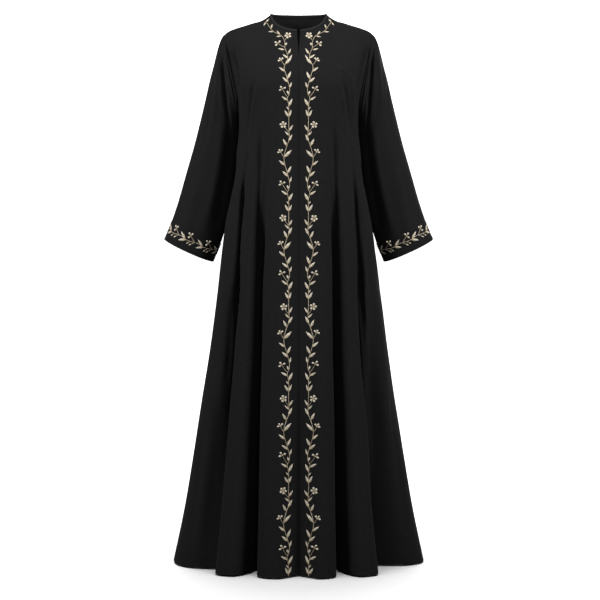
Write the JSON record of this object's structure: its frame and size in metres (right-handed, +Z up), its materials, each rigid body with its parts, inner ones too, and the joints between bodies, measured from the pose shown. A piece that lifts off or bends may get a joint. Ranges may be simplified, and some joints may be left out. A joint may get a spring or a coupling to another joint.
{
  "type": "abaya cloak",
  "caption": "Long open-front abaya cloak in black crepe, with a round bound neck, set-in flared sleeves, a deeply fluted skirt and pale gold vine embroidery.",
  "frame": {"origin": "midway between the two points where the shoulder seams meet the neck, where the wearer holds the cloak up", "axes": "+Z up along the cloak's length, -Y the way its front faces, +X the wearer's left"},
  "size_m": [0.7132, 0.4844, 1.4482],
  "materials": {
    "crepe": "matte black polyester crepe with a fine pebbled grain",
    "binding": "bias strip of the same crepe, pressed smoother",
    "gold_thread": "pale champagne gold rayon embroidery thread with a soft sheen",
    "tan_thread": "darker tan rayon embroidery thread",
    "sewing_thread": "black polyester sewing thread"
  },
  "bodies": {
    "root": {"front_right": "crepe", "front_left": "crepe", "back": "crepe", "sleeve_right": "crepe", "sleeve_left": "crepe", "neck_binding": "binding"}
  },
  "joints": []
}
